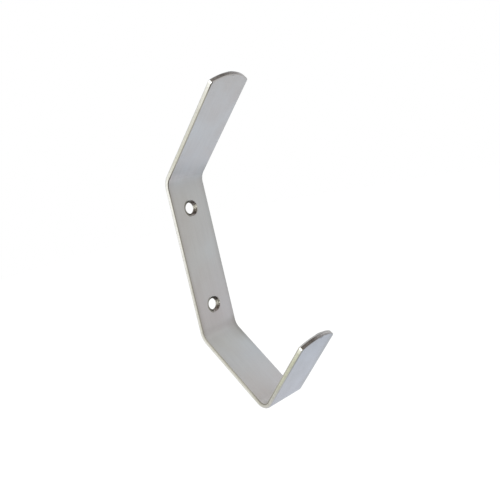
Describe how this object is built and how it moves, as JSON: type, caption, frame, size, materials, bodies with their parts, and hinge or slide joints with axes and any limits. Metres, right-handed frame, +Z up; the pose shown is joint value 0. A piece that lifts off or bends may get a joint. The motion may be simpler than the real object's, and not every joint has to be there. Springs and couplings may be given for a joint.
{
  "type": "coat hook",
  "caption": "Wall coat hook bent from a flat plated steel strip: leaning hat prong, wall plate with screw holes, sloping arm and upturned coat hook tip, both ends rounded.",
  "frame": {"origin": "on the back face of the wall plate, midway between the two screw holes and midway across the strip", "axes": "+Z up the wall, +Y into the wall, so the hook reaches out towards -Y, and +X to the right seen from the front"},
  "size_m": [0.018, 0.0544, 0.1224],
  "materials": {
    "plated_steel": "smooth satin zinc plate, slightly cool on the faces and warmer on the narrow edges"
  },
  "bodies": {
    "root": {"hook_strip": "plated_steel"}
  },
  "joints": []
}
